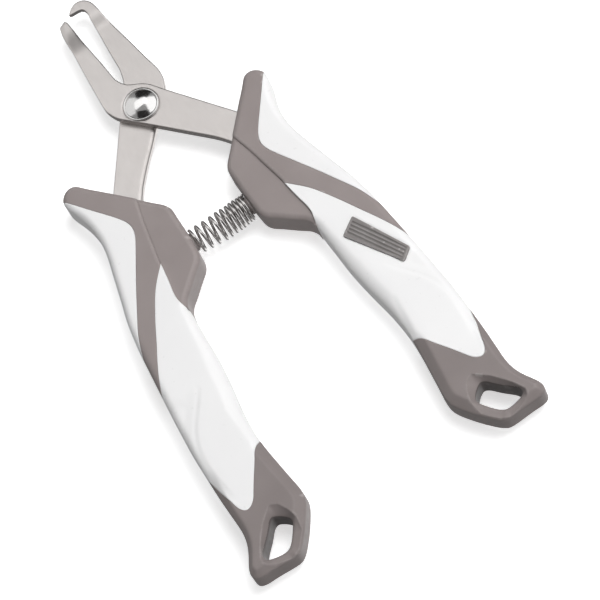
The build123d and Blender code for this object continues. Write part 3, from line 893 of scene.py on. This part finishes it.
TANG_OUT = S([(19.4, -17.9), (24.6, -26.5), (27.2, -40.0), (30.2, -60.0), (31.6, -80.0),
              (32.0, -95.0), (31.2, -97.5)])
TANG_IN = S([(17.0, -30.2), (21.6, -42.0), (24.2, -60.0), (26.3, -80.0),
             (27.6, -95.0), (28.6, -97.5)])


def blade_loop(out, inn, s):
    o, i = spline(S(out), 0.25), spline(S(inn), 0.25)
    to, ti = TANG_OUT.copy(), TANG_IN.copy()
    if s < 0:
        to[:, 0] *= -1
        ti[:, 0] *= -1
    a = resample(np.vstack([o[-1:], ti]), 0.4)[1:]
    b = resample(np.vstack([i[-1:], to]), 0.4)[1:]
    return loop_of(o, a, resample(np.vstack([a[-1:], b[-1:]]), 0.4)[1:-1], b[::-1], i[::-1])


def joggle(y, y0, y1, dz):
    return dz * sstep(y0 * F, y1 * F, y)


def edge_round(P, lp, r=0.14):
    return round_drop(near(P, lp, True), r, r)


def ring(r, n=72):
    a = np.linspace(0, 2 * math.pi, n, endpoint=False)
    return np.stack([r * np.cos(a), r * np.sin(a)], 1)


STRIP_EDGE = spline(S(JAW_REAR_OUT[22:]), 0.3)


def build_blade(name, loop, up, y0, y1, node_name, body):
    bore = ring(2.32)
    z1 = 2.0 if up > 0 else -0.03
    z0 = 0.03 if up > 0 else -2.0

    def top(P):
        z = z1 - up * joggle(P[:, 1], y0, y1, 1.0)
        # stamped edges, rolled over on the upper face
        z = z - round_drop(near(P, loop, True), 0.34, 0.26)
        if up < 0:     # the strip's right edge is eased to a flat
            z = z - 0.34 * np.clip(1 - near(P, STRIP_EDGE) / 0.62, 0, 1)
        z = z - round_drop(near(P, bore, True), 0.16, 0.14)
        if up > 0:     # turned line round the washer
            z = z - 0.13 * np.exp(-((np.hypot(P[:, 0], P[:, 1]) - 4.71) / 0.07) ** 2)
        if up > 0:     # flat ground on the outside of the tip
            a_, b_ = S((-4.55, 36.2)), S((-7.0, 28.6))
            n_ = np.array([-(b_ - a_)[1], (b_ - a_)[0]])
            n_ = n_ / np.linalg.norm(n_)
            n_ = -n_ if n_[0] > 0 else n_
            z = z - 0.30 * np.clip((P - a_) @ n_, 0, 3) * sstep(27.5 * F, 30.0 * F, P[:, 1])
        return z

    def bot(P):
        z = z0 - up * joggle(P[:, 1], y0, y1, 1.0)
        if up < 0:     # the tooth of the hook is ground thinner from below
            z = z + 0.85 * sstep(33.2 * F, 36.0 * F, P[:, 1]) * sstep(4.2, 0.5, P[:, 0])
        return z + round_drop(near(P, loop, True), 0.16, 0.14)
    bend = [np.stack([np.linspace(-12, 12, 70), np.full(70, y * F)], 1)
            for y in np.linspace(y0, y1, 9)]
    if up > 0:
        bend += [ring(r_, 150) for r_ in (4.58, 4.64, 4.71, 4.78, 4.84)]
    bend = [b[inside(b, loop) & (near(b, loop, True) > 0.45)] for b in bend]
    v, f = plate(name, loop, top, bot, [bore], grid=0.55, rings=(0.03, 0.07, 0.13, 0.2, 0.27, 0.36),
                 walls=5, extra=bend)
    ob = make(name, v, f, 1, body)
    ob.data.materials.append(STEEL)
    ob.data.materials.append(RIM_SHADE_M)
    # edge walls facing down and to the left take the dark rim metal: painted shade on the side away from the
    # light
    for p in ob.data.polygons:
        c_ = p.center
        q_ = np.array([[(c_.x - PX) * 1000, (c_.y - PY) * 1000]])
        if abs(p.normal.z) < 0.55 and p.normal.y < -0.25 and p.normal.x < 0.3 and near(q_, loop, True)[0] < 0.4:
            p.material_index = 1
        # the groove round the washer takes the dark rim metal: painted contact shadow round the washer
        elif up > 0 and c_.z > 0.001 and abs(np.hypot(*q_[0]) - 4.71) < 0.075:
            p.material_index = 1
    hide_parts(node_name)
    return ob


front = build_blade("upper_plate", blade_loop(JAW_FRONT_OUT, JAW_FRONT_IN, 1), 1, 23.4, 32.8,
                    "front_blade", CHILD)
rear = build_blade("lower_plate", blade_loop(JAW_REAR_OUT, JAW_REAR_IN, -1), -1, 27.8, 33.6,
                   "rear_blade", ROOT)


# ------------------------------------------------------------------ rivet and washer
def lathe(name, profile, n=96, body=ROOT):
    prof = np.array(profile, float)
    verts, faces = [], []
    for r, z in prof:
        if r < 1e-9:
            verts.append([(0.0, 0.0, z)])
        else:
            a = np.linspace(0, 2 * math.pi, n, endpoint=False)
            verts.append([(r * math.cos(t), r * math.sin(t), z) for t in a])
    start, flat = [], []
    for ringv in verts:
        start.append(len(flat))
        flat += ringv
    for k in range(len(prof) - 1):
        a, b = start[k], start[k + 1]
        la, lb = len(verts[k]), len(verts[k + 1])
        for i in range(n):
            j = (i + 1) % n
            if la == 1 and lb == 1:
                continue
            if la == 1:
                faces.append((a, b + i, b + j))
            elif lb == 1:
                faces.append((a + i, b, a + j))
            else:
                faces.append((a + i, b + i, b + j, a + j))
    return make(name, flat, faces, 1, body)


def dome(r, h, z, n=26):
    big = (r * r + h * h) / (2 * h)
    top_a = math.asin(r / big)
    return [(big * math.sin(a), z + big * math.cos(a) - (big - h)) for a in np.linspace(0, top_a, n)]


base = 2.0 + 0.03 + 0.30 + 0.02
prof = dome(4.10, 1.48, base + 0.05)
prof += [(4.13, base + 0.02), (4.11, base - 0.03), (4.0, base - 0.06), (2.25, base - 0.06), (2.25, -2.03)]
tail = [(r, -2.03 - (z - 0)) for r, z in dome(3.4, 0.9, 0.0)][::-1]
prof += [(3.38, -2.03)] + tail
rivet = lathe("rivet", prof)
rivet.data.materials.append(DOME)
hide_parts("pivot_rivet")
sharpen(rivet, 50)
w0 = 2.03
ringp = [(2.31, w0), (4.52, w0), (4.59, w0 + 0.03), (4.62, w0 + 0.08), (4.61, w0 + 0.13),
         (4.57, w0 + 0.19), (4.50, w0 + 0.24), (4.41, w0 + 0.275), (4.30, w0 + 0.29), (4.22, w0 + 0.27),
         (4.14, w0 + 0.22), (2.31, w0 + 0.22), (2.31, w0)]
washer = lathe("ring_washer", ringp[::-1])
washer.data.materials.append(WASH)
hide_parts("head_washer")
sharpen(washer, 50)

# ------------------------------------------------------------------ spring
x0, x1 = -8.1, 8.1
knots = np.array([0.0, 1.45, 2.45, 2.30, 2.0, 1.5, 1.30, 1.20, 1.15, 1.15, 1.2, 0.85])
N = 11 * 40
turn = np.linspace(0, 11, N + 1)
rate = np.interp(turn, np.arange(12), [1.7, 2.2, 2.2, 2.0, 1.7, 1.45, 1.3, 1.2, 1.1, 1.0, 0.9, 0.75])
pos = np.concatenate([[0], np.cumsum((rate[1:] + rate[:-1]) / 2 * np.diff(turn))])
pos = x0 + 0.4 + (pos / pos[-1]) * (x1 - x0 - 0.8)
sy = -42.0 * F
phi = turn * 2 * math.pi + 0.6
tt = (pos - x0) / (x1 - x0)
bow = -0.5 * np.sin(math.pi * tt)
R0 = 2.90 + 0.16 * tt + 0.36 * np.sin(math.pi * np.clip(tt, 0, 1)) ** 0.8
jit = 0.06 * np.sin(turn * 1.7 + 1.0)
path = np.stack([pos + 0.05 * np.sin(turn * 2.3), sy + bow + (R0 + jit) * np.cos(phi),
                 (R0 + jit) * np.sin(phi) * 1.0 + 0.12 * np.sin(math.pi * tt)], 1)
tan = np.gradient(path, axis=0)
tan /= np.linalg.norm(tan, axis=1)[:, None]
cen = np.stack([pos, sy + bow, 0 * pos], 1)
rad = path - cen
rad -= (rad * tan).sum(1)[:, None] * tan
rad /= np.linalg.norm(rad, axis=1)[:, None]
bi = np.cross(tan, rad)
M_ = 14
verts, faces = [], []
for i in range(len(path)):
    for k in range(M_):
        a = 2 * math.pi * k / M_
        verts.append(path[i] + 0.38 * (math.cos(a) * rad[i] + math.sin(a) * bi[i]))
for i in range(len(path) - 1):
    for k in range(M_):
        j = (k + 1) % M_
        faces.append((i * M_ + k, i * M_ + j, (i + 1) * M_ + j, (i + 1) * M_ + k))
for i, rev in ((0, 1), (len(path) - 1, 0)):
    c = len(verts)
    verts.append(path[i] + tan[i] * (-0.12 if rev else 0.12))
    for k in range(M_):
        j = (k + 1) % M_
        a, b = i * M_ + k, i * M_ + j
        faces.append((a, c, b) if rev else (b, c, a))
spring = make("coil_spring", np.array(verts), [tuple(reversed(f)) for f in faces])
spring.data.materials.append(WIRE)
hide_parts("return_spring")
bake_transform(spring)

# ------------------------------------------------------------------ badge


def z_badge(P):
    d = near(P, bad_loop, True)
    q = P - ctr
    w_ = q @ uy
    z = np.full(len(P), 5.22) - round_drop(d, 0.2, 0.2)
    inner = sstep(0.55, 0.75, d)
    ribs = 0.5 + 0.5 * np.cos(w_ * 2 * math.pi / 0.95)
    z -= inner * (0.06 + 0.26 * (1 - sstep(0.2, 0.6, ribs)))
    return z


v, f = plate("badge", bad_loop, z_badge, lambda P: np.full(len(P), 4.35), grid=0.16,
             rings=(0.06, 0.12, 0.2), walls=3)
badge = make("blank_badge", v, f, 1, CHILD)
badge.data.materials.append(BADGE_M)
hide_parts("badge_plate")

# ------------------------------------------------------------------ camera
K = 3.3e-4
E, ROLL, HALF = math.radians(61), math.radians(29.2), math.radians(4.67)
P0 = np.array([-45.3, 291.8])
SC = 0.2463 * F / 1000.0


def to_row(w_):
    r = (np.array(w_[:2]) - P0)
    c, s_ = math.cos(-HALF), math.sin(-HALF)
    x, y = c * r[0] - s_ * r[1], s_ * r[0] + c * r[1]
    return Vector((x * SC + PX, y * SC + PY, w_[2] * SC + MID))


D = 1 / K
eye = to_row((0, -D * math.cos(E), D * math.sin(E)))
aim = to_row((0, 0, 0))
fwd = (aim - eye).normalized()
right0 = (to_row((1, 0, 0)) - aim).normalized()
up0 = right0.cross(fwd).normalized()
up = up0 * math.cos(ROLL) + right0 * math.sin(ROLL)
right = right0 * math.cos(ROLL) - up0 * math.sin(ROLL)
cam_d = bpy.data.cameras.new("camera")
cam = bpy.data.objects.new("camera", cam_d)
bpy.context.scene.collection.objects.link(cam)
cam.matrix_world = Matrix((
    (right.x, up.x, -fwd.x, eye.x), (right.y, up.y, -fwd.y, eye.y),
    (right.z, up.z, -fwd.z, eye.z), (0, 0, 0, 1)))
cam_d.sensor_width = 36
cam_d.lens = 36 * D / 600
cam_d.clip_start, cam_d.clip_end = 0.01, 20
bpy.context.scene.camera = cam

# ------------------------------------------------------------------ floor, light
fm = bpy.data.meshes.new("floor")
fm.from_pydata([(-3, -3, 0), (3, -3, 0), (3, 3, 0), (-3, 3, 0)], [], [(0, 1, 2, 3)])
floor = bpy.data.objects.new("floor", fm)
bpy.context.scene.collection.objects.link(floor)
mf, nt, b = new_mat("floor_white")
nt.links.new(mixc(nt, remap(nt, noise(nt, coords(nt), 3, 2), 0, 1), (0.91, 0.91, 0.91), (0.92, 0.92, 0.92)),
             b.inputs["Base Color"])
b.inputs["Roughness"].default_value = 0.9
b.inputs["Specular IOR Level"].default_value = 0.1
b.inputs["Emission Color"].default_value = (1, 1, 1, 1)
b.inputs["Emission Strength"].default_value = 0.53
fm.materials.append(mf)
floor.visible_diffuse = False     # dimmer sheets below stand in for its glow
floor.visible_glossy = False
floor.location.z = -0.0002

world = bpy.data.worlds.new("studio")
bpy.context.scene.world = world
world.use_nodes = True
wn = world.node_tree
bg = wn.nodes["Background"]
bg.inputs["Color"].default_value = (1, 1, 1, 1)
bg.inputs["Strength"].default_value = 0.26


def area_light(name, loc, target, size, power, color=(1, 1, 1)):
    d = bpy.data.lights.new(name, "AREA")
    d.shape = "RECTANGLE"
    d.size, d.size_y = size
    d.energy = power
    d.color = color
    o = bpy.data.objects.new(name, d)
    bpy.context.scene.collection.objects.link(o)
    o.location = loc
    o.rotation_mode = "QUATERNION"
    o.rotation_quaternion = (Vector(target) - Vector(loc)).to_track_quat("-Z", "Y")
    return o


def card(name, centre, target, w_, h_, glow):
    """studio card, seen only in reflections: white and lit, or black"""
    me = bpy.data.meshes.new(name)
    me.from_pydata([(-w_ / 2, -h_ / 2, 0), (w_ / 2, -h_ / 2, 0), (w_ / 2, h_ / 2, 0), (-w_ / 2, h_ / 2, 0)],
                   [], [(0, 1, 2, 3)])
    o = bpy.data.objects.new(name, me)
    bpy.context.scene.collection.objects.link(o)
    o.location = centre
    o.rotation_mode = "QUATERNION"
    o.rotation_quaternion = (Vector(target) - Vector(centre)).to_track_quat("Z", "Y")
    m, nt_, b_ = new_mat(name)
    b_.inputs["Base Color"].default_value = (0.02, 0.019, 0.018, 1)
    b_.inputs["Roughness"].default_value = 0.9
    b_.inputs["Emission Color"].default_value = (1, 1, 1, 1)
    b_.inputs["Emission Strength"].default_value = glow
    me.materials.append(m)
    o.visible_camera = False
    o.visible_diffuse = False
    o.visible_shadow = False
    o.visible_transmission = False
    return o


tgt = Vector((0, PY, 0))
mid = Vector((0, -0.02, 0))
# level directions: away from the camera, and to its right before it is rolled
back_ = (eye - aim).normalized()
far = -Vector((back_.x, back_.y, 0)).normalized()
rgt = Vector((far.y, -far.x, 0))


def sky(az, elev, dist):
    """az is turned from the right hand towards the far side"""
    a_, e_ = math.radians(az), math.radians(elev)
    return (rgt * math.cos(a_) + far * math.sin(a_)) * (dist * math.cos(e_)) + Vector((0, 0, dist * math.sin(e_)))


key = area_light("key", mid + sky(14, 66, 1.0), mid, (0.62, 0.62), 6.3)
key.visible_glossy = False
side_l = area_light("side", mid + sky(0, 46, 1.25), mid, (1.8, 1.25), 5.9)
card("card_top", tgt + sky(95, 66, 1.5), tgt, 1.7, 0.95, 1.08)
card("card_left", tgt + sky(138, 30, 1.5), tgt, 2.0, 1.8, 0.72)
card("flag_far", tgt + sky(70, 17, 0.26), tgt, 0.2, 0.24, 0.0)
card("flag_near", tgt + sky(-112, 55, 0.26), tgt, 0.28, 0.17, 0.0)
glow_at = rgt * 1.0 + Vector((0, 0, -0.9))
glow_r = card("floor_glow_right", glow_at, glow_at * 0.5, 1.6, 1.8, 2.3)
glow_r.visible_diffuse = True
glow_r.visible_glossy = False
fill = card("near_fill", mid + sky(-72, 15, 1.6), mid, 1.9, 0.7, 1.5)
fill.visible_diffuse = True
fill.visible_glossy = False
glow = card("floor_glow", Vector((0, 0, -1.6)), Vector((0, 0, 1)), 9.0, 9.0, 0.50)
glow.visible_diffuse = True
glow.visible_glossy = False
sheen_at = rgt * 0.78 + Vector((0, 0, -1.0))     # light floor on the right, seen by upright edges
card("floor_sheen", sheen_at, sheen_at + Vector((0, 0, 1)), 1.15, 1.6, 1.2)

bpy.context.scene.view_settings.view_transform = "Standard"
bpy.context.scene.view_settings.look = "None"
